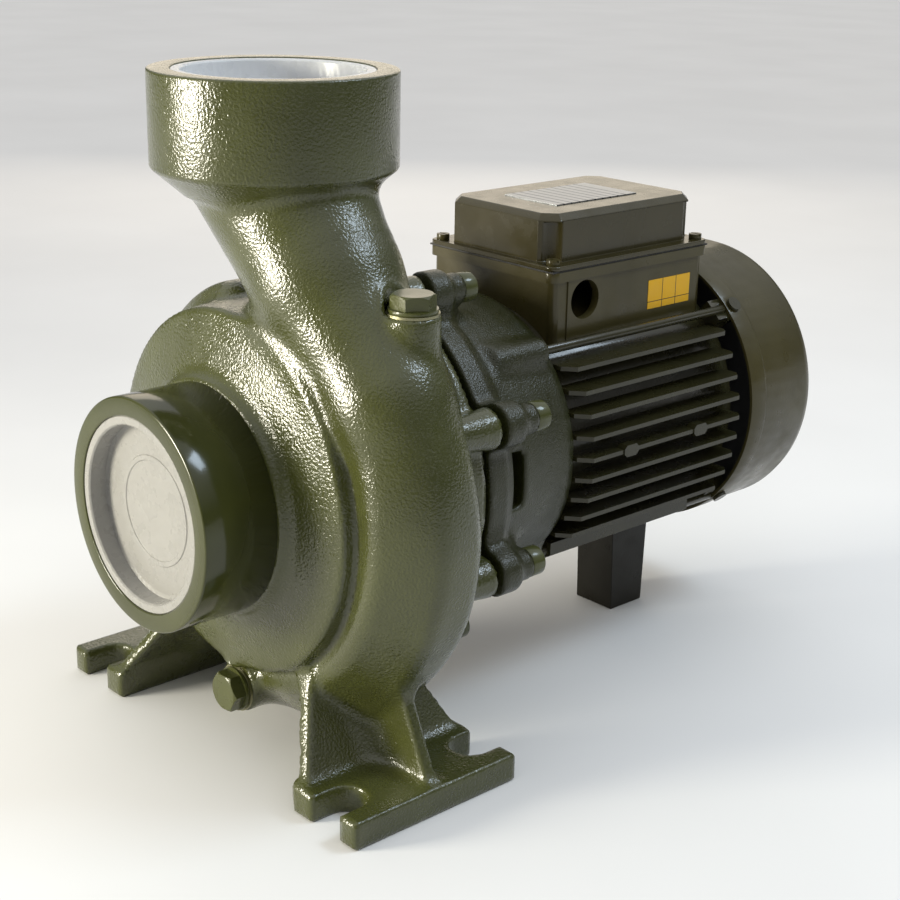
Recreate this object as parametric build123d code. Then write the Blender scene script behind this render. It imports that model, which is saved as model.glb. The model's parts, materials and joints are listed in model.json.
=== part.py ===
"""Close-coupled centrifugal water pump: end-suction volute casing on a finned electric motor.

Frame: origin on the base plane under the discharge port's axis, +Z up, shaft along Y at SHAFT_Z,
suction port towards -Y, motor towards +Y, +X to the right when looking into the suction port.
"""
from math import atan2, cos, radians, sin, sqrt
import os

from build123d import *

os.makedirs("parts", exist_ok=True)

# ---------------------------------------------------------------- driving dimensions, mm
SHAFT_Z = 160.0  # shaft height over the feet

# ports: G 4 threads, drawn as plain walls at the minor diameter with a lead-in at the major one
THREAD_R = 55.0
LEAD_IN_R = 56.5
LEAD_IN_DEPTH = 14.0
THREAD_LENGTH = 30.0
SUCTION_FACE_Y = -98.5
SUCTION_BOSS_R = 67.4
SUCTION_BOSS_LENGTH = 48.0
DISCHARGE_TOP_Z = 398.0
COLLAR_R = 69.3
COLLAR_HEIGHT = 57.3
CAP_CLEARANCE = 0.08

# volute: round passage that grows from the tongue to the neck
WALL = 7.0
TONGUE_DEG = 112.0
NECK_DEG = 396.0
VOLUTE_BASE_R = 77.0
VOLUTE_FIRST_R = 21.5
VOLUTE_LAST_R = 38.5
VOLUTE_SECTIONS = 9
NECK_TOP_R = 51.0
NECK_TOP_Z = 345.5
NECK_WAIST = 2.0

# casing back, seal cover and lantern bracket
REAR_BORE_R = 90.0
DRUM_R = 109.0
CASING_BACK_Y = 65.0
COVER_FLANGE = 4.0
COVER_FLANGE_R = 103.0
COVER_FRONT_Y = 14.0
LOBE_COUNT = 8
LOBE_CIRCLE_R = 118.0
LOBE_R = 13.5
BOSS_R = 9.5
SCREW_R = 6.0
SCREW_HEAD_R = 9.0
SCREW_HEAD = 10.0
BRACKET_FRONT_Y = CASING_BACK_Y + COVER_FLANGE
BRACKET_RING_R = 108.5
BRACKET_LOBE_END_Y = 85.0
BRACKET_BOSS_END_Y = 97.0
BRACKET_END_Y = 158.0
BRACKET_SPIGOT_R = 77.9

# feet
FOOT_INNER_X = 89.5
FOOT_OUTER_X = 145.5
FOOT_FRONT_Y = -61.0
FOOT_BACK_Y = 59.0
FOOT_THICK = 17.0
FOOT_SLOT_R = 12.0
FOOT_SLOT_X = 119.4
FOOT_SLOT_Y = 46.5

# plugs
PRIMING_X, PRIMING_Y, PRIMING_SEAT_Z = 108.0, 8.5, 279.5
DRAIN_SEAT_Y, DRAIN_DROP = -33.0, 126.0
PLUG_BOSS_R = 15.2
PLUG_HEX = 22.0
PLUG_FLANGE_R = 13.6
PLUG_HEAD = 10.0
PLUG_THREAD_R = 8.3
PLUG_HOLE_R = 8.35

# rotor
IMPELLER_R = 73.0
HUB_BORE_R = 12.0
SEAL_SHAFT_R = 14.0
FRONT_SEAT_R = 15.0
REAR_SEAT_R = 12.5
FAN_SEAT_R = 11.0
ROTOR_R = 47.0
AIR_GAP = 0.5

# bearings: inner radius, outer radius, width, ball radius, ball count, front face
FRONT_BEARING = (15.0, 36.0, 19.0, 6.1, 8, 135.0)
REAR_BEARING = (12.5, 26.0, 15.0, 3.9, 9, 306.0)

# motor
FRAME_FRONT_Y = BRACKET_END_Y
FRAME_BACK_Y = 312.0
FRAME_R = 82.5
STATOR_R = 77.5
CORE_FRONT_Y, CORE_BACK_Y = 182.0, 282.0
FIN_TIP_R = 98.4
FIN_THICK = 2.8
FIN_PITCH = 13.6
FIN_LUG_Z = 0.8
FIN_LUG_YS = (199.5, 266.5)
FINS_EACH_SIDE = 9
TOP_FIN_Z = 55.2
PAD_HALF_X = 24.0
RAIL_BACK_Y = 291.0
PAD_DROP = 83.0
TIE_ROD_CIRCLE_R = 94.0
TIE_ROD_R = 3.0
FAN_COVER_R = 96.5
FAN_COVER_FRONT_Y = 323.0
FAN_COVER_BACK_Y = 393.0
FAN_COVER_SHEET = 2.0
FAN_R = 90.0
FAN_BLADES = 7

# terminal box
BOX_HALF_X = 55.4
BOX_FRONT_Y, BOX_BACK_Y = 168.7, 310.6
BOX_RIM_Z = 263.5
BOX_WALL = 5.0
RIM_THICK = 6.3
LID_HALF_X = 48.0
LID_FRONT_Y, LID_BACK_Y = 171.0, 311.0
LID_SHOULDER_Z, LID_TOP_Z = 299.6, 303.6
LID_SHEET = 3.0
LID_CORNER = 10.0
CABLE_PAD = 0.8
CABLE_Y, CABLE_Z, CABLE_R = 196.5, 249.8, 12.5

# support leg
LEG_HALF_X = 17.0
LEG_FRONT_Y, LEG_BACK_Y = 281.0, 313.0
LEG_DRAFT = 2.5


# ---------------------------------------------------------------- helpers
def turned(*points):
    """Solid of revolution about the shaft axis from (radius, y) corners."""
    face = make_face(Polyline(*points, close=True))
    return Pos(0, 0, SHAFT_Z) * revolve(face, Axis.Y)


def rod_y(radius, y0, y1, x=0.0, z=SHAFT_Z):
    """Cylinder along Y from y0 to y1."""
    plane = Plane(origin=(x, y0, z), x_dir=(1, 0, 0), z_dir=(0, 1, 0))
    return extrude(plane * Circle(radius), y1 - y0)


def rod_z(radius, z0, z1, x=0.0, y=0.0):
    """Cylinder along Z from z0 to z1."""
    return Pos(x, y, z0) * extrude(Circle(radius), z1 - z0)


def rod_x(radius, x0, x1, y, z):
    """Cylinder along X from x0 to x1."""
    plane = Plane(origin=(x0, y, z), x_dir=(0, 1, 0), z_dir=(1, 0, 0))
    return extrude(plane * Circle(radius), x1 - x0)


def block(x0, x1, y0, y1, z0, z1):
    """Box between two corners."""
    centre = Pos((x0 + x1) / 2, (y0 + y1) / 2, (z0 + z1) / 2)
    return centre * Box(x1 - x0, y1 - y0, z1 - z0)


def plate_xz(y0, y1, *points):
    """Plate with an (x, z) outline between two y values."""
    plane = Plane(origin=(0, y0, 0), x_dir=(1, 0, 0), z_dir=(0, -1, 0))
    return extrude(plane * make_face(Polyline(*points, close=True)), -(y1 - y0))


def plate_yz(x0, x1, *points):
    """Plate with a (y, z) outline between two x values."""
    plane = Plane(origin=(x0, 0, 0), x_dir=(0, 1, 0), z_dir=(1, 0, 0))
    return extrude(plane * make_face(Polyline(*points, close=True)), x1 - x0)


def hexagon_prism(across_flats, height):
    """Upright hexagonal prism on the XY plane."""
    return extrude(RegularPolygon(across_flats / 2, 6, major_radius=False), height)


def around(count, first_deg, radius):
    """(degrees, x, z) of evenly spaced places on a circle about the shaft."""
    places = []
    for i in range(count):
        deg = first_deg + i * 360 / count
        places.append((deg, radius * cos(radians(deg)), SHAFT_Z + radius * sin(radians(deg))))
    return places


def mirrored(shape):
    """The shape with its mirror image across the YZ plane."""
    return shape + mirror(shape, Plane.YZ)


def save(name, shape):
    """One STEP per node, holding plain solids."""
    solids = shape.solids()
    kept = solids[0] if len(solids) == 1 else Compound(children=list(solids))
    export_step(kept, f"parts/{name}.step")


# ---------------------------------------------------------------- casing
def volute_radius(deg):
    """Outer radius of the round passage at this angle round the shaft."""
    share = (deg - TONGUE_DEG) / (360 - TONGUE_DEG)
    return VOLUTE_FIRST_R + (VOLUTE_LAST_R - VOLUTE_FIRST_R) * min(max(share, 0), 1) ** 0.8


def volute_section(deg, inset):
    """Circle across the passage, standing on the spiral."""
    radius = volute_radius(deg)
    out = VOLUTE_BASE_R + radius
    a = radians(deg)
    origin = (out * cos(a), 0, SHAFT_Z + out * sin(a))
    plane = Plane(origin=origin, x_dir=(cos(a), 0, sin(a)), z_dir=(-sin(a), 0, cos(a)))
    return plane * Circle(radius - inset)


def volute(inset):
    """Spiral passage from the tongue to the neck."""
    step = (NECK_DEG - TONGUE_DEG) / (VOLUTE_SECTIONS - 1)
    return loft([volute_section(TONGUE_DEG + i * step, inset) for i in range(VOLUTE_SECTIONS)])


def neck(inset):
    """Diffuser from the end of the spiral up to the collar, leaning to the port's axis."""
    top = Pos(0, 0, NECK_TOP_Z) * Circle(NECK_TOP_R - inset)
    a = radians(NECK_DEG)
    out = VOLUTE_BASE_R + volute_radius(NECK_DEG)
    foot_x, foot_z = out * cos(a), SHAFT_Z + out * sin(a)
    lean = atan2(foot_x, NECK_TOP_Z - foot_z)
    middle = Plane(
        origin=(foot_x / 2 - NECK_WAIST, 0, (foot_z + NECK_TOP_Z) / 2),
        x_dir=(cos(lean), 0, sin(lean)),
        z_dir=(-sin(lean), 0, cos(lean)),
    )
    half = middle * Circle((volute_radius(NECK_DEG) + NECK_TOP_R) / 2 - NECK_WAIST - inset)
    return loft([volute_section(NECK_DEG, inset), half, top])


def collar():
    """Discharge collar with its conical underside."""
    under = DISCHARGE_TOP_Z - COLLAR_HEIGHT
    profile = Polyline(
        (0, under - 14), (NECK_TOP_R + 2, under - 14), (COLLAR_R - 2, under),
        (COLLAR_R, under + 2), (COLLAR_R, DISCHARGE_TOP_Z - 1.5),
        (COLLAR_R - 1.5, DISCHARGE_TOP_Z), (0, DISCHARGE_TOP_Z), close=True,
    )
    return revolve(Plane.XZ * make_face(profile), Axis.Z)


def casing_drum():
    """Suction boss, front dome and the drum that carries the cover, all turned."""
    boss_back = SUCTION_FACE_Y + SUCTION_BOSS_LENGTH
    return turned(
        (0, SUCTION_FACE_Y), (SUCTION_BOSS_R - 1.5, SUCTION_FACE_Y),
        (SUCTION_BOSS_R, SUCTION_FACE_Y + 1.5), (SUCTION_BOSS_R, boss_back),
        (72, boss_back + 2), (98, -40), (107, -30), (DRUM_R, -20),
        (DRUM_R, CASING_BACK_Y), (0, CASING_BACK_Y),
    )


def casing_lobes(radius, y0, y1):
    """Screw lobes round the joint."""
    lobes = [rod_y(radius, y0, y1, x, z) for _, x, z in around(LOBE_COUNT, 22.5, LOBE_CIRCLE_R)]
    return lobes[0].fuse(*lobes[1:])


def foot():
    """One foot on +X: slotted plate, inclined web and crosswise rib."""
    plate = block(FOOT_INNER_X, FOOT_OUTER_X, FOOT_FRONT_Y, FOOT_BACK_Y, 0, FOOT_THICK)
    plate = chamfer(plate.edges().filter_by(Axis.Z), 3)
    for end_y, arc_y in ((FOOT_FRONT_Y, -FOOT_SLOT_Y), (FOOT_BACK_Y, FOOT_SLOT_Y)):
        plate -= rod_z(FOOT_SLOT_R, -1, FOOT_THICK + 1, FOOT_SLOT_X, arc_y)
        low, high = sorted((end_y * 1.1, arc_y))
        plate -= block(FOOT_SLOT_X - FOOT_SLOT_R, FOOT_SLOT_X + FOOT_SLOT_R, low, high,
                       -1, FOOT_THICK + 1)
    web = plate_xz(FOOT_FRONT_Y, FOOT_BACK_Y, (FOOT_INNER_X, 0), (FOOT_INNER_X + 9, 0),
                   (FOOT_INNER_X + 9, FOOT_THICK), (54, 86), (45, 86),
                   (FOOT_INNER_X, FOOT_THICK))
    slopes = plate_yz(30, 110, (FOOT_FRONT_Y, 0), (FOOT_BACK_Y, 0), (FOOT_BACK_Y, FOOT_THICK),
                      (34, 60), (30, 90), (-30, 90), (-34, 60), (FOOT_FRONT_Y, FOOT_THICK))
    rib = plate_xz(-4.5, 4.5, (FOOT_INNER_X, 10), (FOOT_OUTER_X - 3, 10),
                   (FOOT_OUTER_X - 3, FOOT_THICK), (118, 65), (112, 90), (60, 90), (60, 50))
    return plate + (web & slopes) + rib


def casing_hollow():
    """Everything the water fills, with the cover's bore and the lead-ins."""
    lead_end = SUCTION_FACE_Y + LEAD_IN_DEPTH
    thread_end = lead_end + THREAD_LENGTH
    suction = turned(
        (0, SUCTION_FACE_Y - 1), (LEAD_IN_R, SUCTION_FACE_Y - 1), (LEAD_IN_R, lead_end),
        (THREAD_R, lead_end), (THREAD_R, thread_end), (45, thread_end + 6), (45, -44),
        (51, -44), (51, -33), (70, -28), (VOLUTE_BASE_R + 3, -20),
        (VOLUTE_BASE_R + 3, COVER_FRONT_Y - 1), (0, COVER_FRONT_Y - 1),
    )
    rear = rod_y(REAR_BORE_R, COVER_FRONT_Y - 1, CASING_BACK_Y + 1)
    slot_face = make_face(Polyline((75, -12), (95, -12), (95, 12), (75, 12), close=True))
    slot = revolve(slot_face, Axis.Y, revolution_arc=NECK_DEG - TONGUE_DEG)
    outlet = Pos(0, 0, SHAFT_Z) * (Rot(0, -NECK_DEG, 0) * slot)
    port_floor = DISCHARGE_TOP_Z - LEAD_IN_DEPTH - THREAD_LENGTH
    profile = Polyline(
        (0, NECK_TOP_Z - 3), (NECK_TOP_R - WALL, NECK_TOP_Z - 3), (THREAD_R - 5, port_floor),
        (THREAD_R, port_floor), (THREAD_R, port_floor + THREAD_LENGTH),
        (LEAD_IN_R, port_floor + THREAD_LENGTH), (LEAD_IN_R, DISCHARGE_TOP_Z + 1),
        (0, DISCHARGE_TOP_Z + 1), close=True,
    )
    port = revolve(Plane.XZ * make_face(profile), Axis.Z)
    priming = rod_z(PLUG_HOLE_R, PRIMING_SEAT_Z - 50, PRIMING_SEAT_Z + 1, PRIMING_X, PRIMING_Y)
    priming_face = rod_z(PLUG_BOSS_R, PRIMING_SEAT_Z, PRIMING_SEAT_Z + 40, PRIMING_X, PRIMING_Y)
    drain = rod_y(PLUG_HOLE_R, DRAIN_SEAT_Y - 1, -4, 0, SHAFT_Z - DRAIN_DROP)
    drain_face = rod_y(PLUG_BOSS_R, DRAIN_SEAT_Y - 20, DRAIN_SEAT_Y, 0, SHAFT_Z - DRAIN_DROP)
    passages = (volute(WALL), neck(WALL))
    return suction, rear, outlet, port, *passages, priming, priming_face, drain, drain_face


def pump_casing():
    """Cast casing with ports, feet, lobes and the two plug bosses."""
    body = casing_drum() + volute(0) + neck(0) + collar()
    body += casing_lobes(LOBE_R, 40, CASING_BACK_Y)
    body += mirrored(foot())
    body += rod_z(PLUG_BOSS_R, SHAFT_Z + 60, PRIMING_SEAT_Z, PRIMING_X, PRIMING_Y)
    body += rod_y(PLUG_BOSS_R, DRAIN_SEAT_Y, 0, 0, SHAFT_Z - DRAIN_DROP)
    for hollow in casing_hollow():
        body -= hollow
    for _, x, z in around(LOBE_COUNT, 22.5, LOBE_CIRCLE_R):
        body -= rod_y(SCREW_R, 43, CASING_BACK_Y + 1, x, z)
    return body


def port_cap(depth):
    """Push-in transit cap, mouth up on the XY plane with its floor at -depth."""
    r = LEAD_IN_R - CAP_CLEARANCE
    profile = Polyline((0, -depth), (r - 1, -depth), (r, -depth + 1), (r, -0.6), (r - 0.6, 0),
                       (r - 4.5, 0), (r - 5.5, -1), (r - 5.5, -depth + 2.2), (r - 8, -depth + 1.6),
                       (r - 24, -depth + 1.6), (r - 24.5, -depth + 2.2), (r - 27, -depth + 2.2),
                       (r - 27.5, -depth + 1.6), (0, -depth + 1.6), close=True)
    return revolve(Plane.XZ * make_face(profile), Axis.Z)


def hex_plug(thread_length):
    """Flanged hexagon plug, seat on the XY plane, thread pointing down."""
    head = hexagon_prism(PLUG_HEX, PLUG_HEAD)
    outline = Polyline((0, 0), (PLUG_HEX * 0.7, 0), (PLUG_HEX * 0.57, PLUG_HEAD - 1.2),
                       (PLUG_HEX * 0.49, PLUG_HEAD), (0, PLUG_HEAD), close=True)
    crown = revolve(Plane.XZ * make_face(outline), Axis.Z)
    flange = rod_z(PLUG_FLANGE_R, 0, 2.2)
    return (head & crown) + flange + rod_z(PLUG_THREAD_R, -thread_length, 0)


def sealing_washer():
    """Flat sealing ring under a plug, below the XY plane."""
    return rod_z(PLUG_FLANGE_R + 0.9, -1.5, 0) - rod_z(PLUG_THREAD_R + 0.4, -2, 1)


# ---------------------------------------------------------------- wet end
def wear_ring():
    """Bronze ring in the casing that runs close to the impeller's eye."""
    return turned((48.2, -44), (51, -44), (51, -34), (48.2, -34))


def seal_cover():
    """Cup-shaped cover behind the impeller with the seal chamber in its middle."""
    back = CASING_BACK_Y
    cup = turned(
        (16.5, 53), (16.5, 58), (40, 58), (44, 24), (78, 20), (78, back + COVER_FLANGE),
        (COVER_FLANGE_R, back + COVER_FLANGE), (COVER_FLANGE_R, back),
        (REAR_BORE_R - 0.05, back), (REAR_BORE_R - 0.05, COVER_FRONT_Y),
        (38, COVER_FRONT_Y), (34, 44), (21.5, 44), (21.5, 53),
    )
    groove = turned((85.6, 50), (91, 50), (91, 55), (85.6, 55))
    return cup - groove


def cover_ring():
    """Round cord seal squeezed in the cover's groove."""
    face = make_face(Polyline((85.6, 50.3), (89.95, 50.3), (89.95, 54.7), (85.6, 54.7),
                              close=True))
    rounded = fillet(face.vertices(), 1.9)
    return Pos(0, 0, SHAFT_Z) * revolve(rounded, Axis.Y)


def impeller():
    """Closed radial impeller with six backward-curved vanes."""
    back = turned((HUB_BORE_R, -14), (20, -14), (30, 2), (45, 9), (IMPELLER_R, 10),
                  (IMPELLER_R, 13.5), (24, 13.5), (22, 17), (HUB_BORE_R, 17))
    front = turned((43, -41), (47.8, -41), (47.8, -29), (56, -19), (IMPELLER_R, -12.5),
                   (IMPELLER_R, -9), (54, -14), (43, -28))
    space = turned((19, -13), (27, -4), (45, -26), (57, -16), (IMPELLER_R - 0.2, -10.5),
                   (IMPELLER_R - 0.2, 11.5), (44, 10.5), (28, 3), (19, -11))
    vane_face = make_face([
        ThreePointArc((27, -1), (52, -22), (58, -50)), Line((58, -50), (62, -47)),
        ThreePointArc((62, -47), (55, -19), (27, 4)), Line((27, 4), (27, -1)),
    ])
    plane = Plane(origin=(0, 20, SHAFT_Z), x_dir=(1, 0, 0), z_dir=(0, -1, 0))
    vane = extrude(plane * vane_face, 55) & space
    body = back + front
    for i in range(6):
        body += Pos(0, 0, SHAFT_Z) * (Rot(0, 60 * i, 0) * (Pos(0, 0, -SHAFT_Z) * vane))
    keyway = block(-3, 3, -15, 18, SHAFT_Z + 8, SHAFT_Z + 15.3)
    return body - keyway


def impeller_key():
    """Parallel key between shaft and impeller."""
    return block(-3, 3, -12, 15, SHAFT_Z + 8.5, SHAFT_Z + 15)


def impeller_washer():
    """Washer under the impeller nut."""
    return rod_y(17, -17, -14) - rod_y(8.05, -18, -13)


def impeller_nut():
    """Self-locking nut on the shaft's end."""
    plane = Plane(origin=(0, -17, SHAFT_Z), x_dir=(1, 0, 0), z_dir=(0, -1, 0))
    nut = plane.location * hexagon_prism(24, 15)
    return nut - rod_y(8.05, -33, -16)


def seal_seat():
    """Stationary ceramic ring of the shaft seal."""
    return turned((15, 44.05), (18.5, 44.05), (18.5, 52), (15, 52))


def seal_seat_cup():
    """Rubber cup that holds the stationary ring in the cover."""
    return turned((18.5, 45), (21.5, 45), (21.5, 53), (15.2, 53), (15.2, 52), (18.5, 52))


def seal_face_ring():
    """Carbon ring that turns with the shaft."""
    return turned((SEAL_SHAFT_R + 0.4, 38), (19.5, 38), (19.5, 41), (18, 41), (18, 44), (15, 44),
                  (15, 40), (SEAL_SHAFT_R + 0.4, 40))


def seal_bellows():
    """Rubber bellows gripping the shaft behind the carbon ring."""
    return turned((SEAL_SHAFT_R, 24), (17, 24), (17, 33), (20, 33), (20, 38), (SEAL_SHAFT_R, 38))


def seal_spring():
    """Coil spring of the seal, drawn as stacked turns."""
    turns = []
    for i in range(4):
        centre_y = 19.2 + i * 3.4
        ring = revolve(Pos(18.6, centre_y) * Circle(1.2), Axis.Y)
        turns.append(Pos(0, 0, SHAFT_Z) * ring)
    bar = block(-1, 1, 19.2, 32.4, SHAFT_Z + 17.9, SHAFT_Z + 19.3)
    return bar.fuse(*turns)


def shaft():
    """Stepped pump and motor shaft."""
    body = turned(
        (0, -36), (7, -36), (8, -35), (8, -14), (HUB_BORE_R, -14), (HUB_BORE_R, 17),
        (SEAL_SHAFT_R, 17), (SEAL_SHAFT_R, 62), (FRONT_SEAT_R, 63), (FRONT_SEAT_R, 154), (20, 154),
        (20, 176), (21, 176), (21, 288), (17, 288), (17, 306), (REAR_SEAT_R, 306),
        (REAR_SEAT_R, 324), (FAN_SEAT_R, 324), (FAN_SEAT_R, 368), (0, 368),
    )
    body -= block(-3, 3, -12, 15, SHAFT_Z + 8.5, SHAFT_Z + 13)
    return body - (rod_y(12, 362, 363.2) - rod_y(FAN_SEAT_R - 0.6, 361, 364))


def slinger():
    """Rubber ring that throws leaked water off the shaft."""
    return turned((FRONT_SEAT_R, 112), (19, 112), (19, 118), (24, 124), (22, 125), (19, 121),
                  (19, 122), (FRONT_SEAT_R, 122))


# ---------------------------------------------------------------- bearings
def bearing_rings(bearing):
    """Outer ring, inner ring and balls of a deep-groove bearing."""
    inner_r, outer_r, width, ball_r, count, front = bearing
    pitch = (inner_r + outer_r) / 2
    land = ball_r * 0.62
    middle = front + width / 2
    outer = turned((pitch + land, front), (outer_r, front), (outer_r, front + width),
                   (pitch + land, front + width))
    inner = turned((inner_r, front), (pitch - land, front), (pitch - land, front + width),
                   (inner_r, front + width))
    track = Pos(0, 0, SHAFT_Z) * revolve(Pos(pitch, middle) * Circle(ball_r + 0.06), Axis.Y)
    balls = [Pos(x, middle, z) * Sphere(ball_r) for _, x, z in around(count, 0, pitch)]
    return outer - track, inner - track, Compound(children=balls)


def wave_washer():
    """Preload ring behind the rear bearing."""
    front = REAR_BEARING[5] + REAR_BEARING[2]
    return turned((20, front), (25.5, front), (25.5, front + 1), (20, front + 1))


# ---------------------------------------------------------------- lantern bracket
def lantern_bracket():
    """Bracket between pump and motor: lobed flange, open cone and bearing housing."""
    front = BRACKET_FRONT_Y
    body = turned(
        (40, 128), (36, 131), (36, 154), (44, 154), (48, 142), (70, 146), (76, 146),
        (STATOR_R, 150), (STATOR_R, BRACKET_END_Y), (89, BRACKET_END_Y), (92, 150), (97, 112),
        (99, 94), (104, 92), (BRACKET_RING_R, 84), (BRACKET_RING_R, front),
        (BRACKET_SPIGOT_R, front), (BRACKET_SPIGOT_R, front - 4), (72, front - 4), (72, 90),
        (80, 94), (80, 134), (66, 138), (46, 134),
    )
    lip = turned((29, 131), (38, 131), (38, 135), (29, 135))
    body += lip
    for _, x, z in around(LOBE_COUNT, 22.5, LOBE_CIRCLE_R):
        body += rod_y(LOBE_R, front, BRACKET_LOBE_END_Y, x, z)
        body += rod_y(BOSS_R, front, BRACKET_BOSS_END_Y, x, z)
    for _, x, z in around(4, 45, TIE_ROD_CIRCLE_R):
        body += rod_y(BOSS_R, 104, 148, x, z)
    body -= rod_y(72, front - 5, 90)
    for deg in (0, 180):
        window = plate_xz(93, 107, (40, -15), (130, -15), (130, 20), (40, 20))
        body -= Pos(0, 0, SHAFT_Z) * (Rot(0, deg, 0) * window)
    drip = plate_xz(95, 126, (-10, -60), (10, -60), (10, -130), (-10, -130))
    body -= Pos(0, 0, SHAFT_Z) * drip
    for _, x, z in around(LOBE_COUNT, 22.5, LOBE_CIRCLE_R):
        body -= rod_y(SCREW_R + 0.5, front - 1, BRACKET_BOSS_END_Y + 1, x, z)
    for _, x, z in around(4, 45, TIE_ROD_CIRCLE_R):
        body -= rod_y(TIE_ROD_R, 124, BRACKET_END_Y + 3, x, z)
    return body


def casing_screws():
    """Socket-head screws that clamp bracket and cover to the casing."""
    screws = []
    for _, x, z in around(LOBE_COUNT, 22.5, LOBE_CIRCLE_R):
        head_end = BRACKET_BOSS_END_Y + SCREW_HEAD
        screw = rod_y(SCREW_R, 46, BRACKET_BOSS_END_Y, x, z)
        head = rod_y(SCREW_HEAD_R, BRACKET_BOSS_END_Y, head_end, x, z)
        head = chamfer(head.edges().filter_by(GeomType.CIRCLE).sort_by(Axis.Y)[-1], 0.8)
        socket = Plane(origin=(x, head_end, z), x_dir=(1, 0, 0), z_dir=(0, -1, 0))
        screws.append(screw + head - socket.location * hexagon_prism(10, 6))
    return Compound(children=[s.solid() for s in screws])


# ---------------------------------------------------------------- motor
def fin(z_off):
    """Pair of side fins at this height over the shaft."""
    tip = sqrt(FIN_TIP_R**2 - z_off**2)
    root = sqrt((FRAME_R - 2) ** 2 - z_off**2)
    front, back = FRAME_FRONT_Y + 1, FRAME_BACK_Y - 1
    outline = Polyline((root, front), (tip - 8, front), (tip, front + 7), (tip, back - 4),
                       (tip - 4, back), (root, back), close=True)
    z = SHAFT_Z + z_off - FIN_THICK / 2
    return mirrored(Pos(0, 0, z) * extrude(make_face(outline), FIN_THICK))


def frame_rail():
    """Rail low on the frame's flank, bored for a tie rod."""
    outline = Plane.XZ * Polyline((34, 87.5), (65, 87.5), (72, 91.7), (72, 100), (44, 100), close=True)
    bar = Pos(0, RAIL_BACK_Y, 0) * extrude(make_face(outline), RAIL_BACK_Y - FRAME_FRONT_Y)
    x = TIE_ROD_CIRCLE_R * cos(radians(45))
    return bar - rod_y(TIE_ROD_R + 0.4, FRAME_FRONT_Y - 1, RAIL_BACK_Y + 1, x, SHAFT_Z - x)


def fin_lug(y):
    """Ejector boss astride the middle fin's tip."""
    low, high = SHAFT_Z + FIN_LUG_Z - 3.8, SHAFT_Z + FIN_LUG_Z + 3.8
    lug = block(FIN_TIP_R - 6, FIN_TIP_R + 0.8, y - 6.5, y + 6.5, low, high)
    return chamfer(lug.edges().filter_by(Axis.X), 2.2)


def motor_frame():
    """Finned frame tube with pads above and below."""
    body = rod_y(FRAME_R, FRAME_FRONT_Y, FRAME_BACK_Y)
    for i in range(FINS_EACH_SIDE):
        body += fin(TOP_FIN_Z - i * FIN_PITCH)
    body += block(-PAD_HALF_X, PAD_HALF_X, 250, 308, SHAFT_Z - PAD_DROP, SHAFT_Z - 60)
    body += mirrored(frame_rail())
    body -= rod_y(STATOR_R, FRAME_FRONT_Y - 1, FRAME_BACK_Y + 1)
    body -= rod_z(10, SHAFT_Z + 60, SHAFT_Z + 90, 0, 230)
    for y in (290, 303):
        body -= rod_z(3, SHAFT_Z - PAD_DROP - 1, SHAFT_Z - PAD_DROP + 5.2, 0, y)
    for y in FIN_LUG_YS:
        body += mirrored(fin_lug(y))
    return body


def stator_core():
    """Laminated stator with 36 slots."""
    core = rod_y(STATOR_R, CORE_FRONT_Y, CORE_BACK_Y) - rod_y(ROTOR_R + AIR_GAP, 0, 400)
    slots = []
    for deg, x, z in around(36, 5, 54.5):
        cut = Pos(x, (CORE_FRONT_Y + CORE_BACK_Y) / 2, z) * (Rot(0, -deg, 0) * Box(13, 110, 4.6))
        slots.append(cut)
    return core - slots


def stator_windings():
    """Copper: bars in the slots joined by a ring of turns at each end."""
    body = turned((50, 163), (54, 160), (68, 160), (72, 165), (70, CORE_FRONT_Y), (50, CORE_FRONT_Y))
    body += turned((50, CORE_BACK_Y), (70, CORE_BACK_Y), (72, 297), (68, 302), (54, 302), (50, 299))
    bars = []
    for deg, x, z in around(36, 5, 54.7):
        bar = Pos(x, (CORE_FRONT_Y + CORE_BACK_Y) / 2, z) * (Rot(0, -deg, 0) * Box(11, 102, 4.2))
        bars.append(bar)
    return body.fuse(*bars)


def rotor_core():
    """Laminated rotor on the shaft."""
    return rod_y(ROTOR_R, CORE_FRONT_Y, CORE_BACK_Y) - rod_y(21, 100, 400)


def rotor_rings():
    """Cast cage rings with stirring blades at both ends of the rotor."""
    rings = []
    for ring_y, blade_y in ((CORE_FRONT_Y - 8, CORE_FRONT_Y - 16), (CORE_BACK_Y, CORE_BACK_Y + 8)):
        ring = rod_y(45.5, ring_y, ring_y + 8) - rod_y(30, 0, 400)
        for deg, x, z in around(8, 0, 38):
            blade = Pos(x, blade_y + 4, z) * (Rot(0, -deg, 0) * Box(10, 8.01, 3))
            ring += blade
        rings.append(ring.solid())
    return Compound(children=rings)


def spoke(radius, deg, y, radial, along, across):
    """Block standing out from the shaft axis at this angle."""
    a = radians(deg)
    place = Pos(radius * cos(a), y, SHAFT_Z + radius * sin(a))
    return place * (Rot(0, -deg, 0) * Box(radial, along, across))


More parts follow.
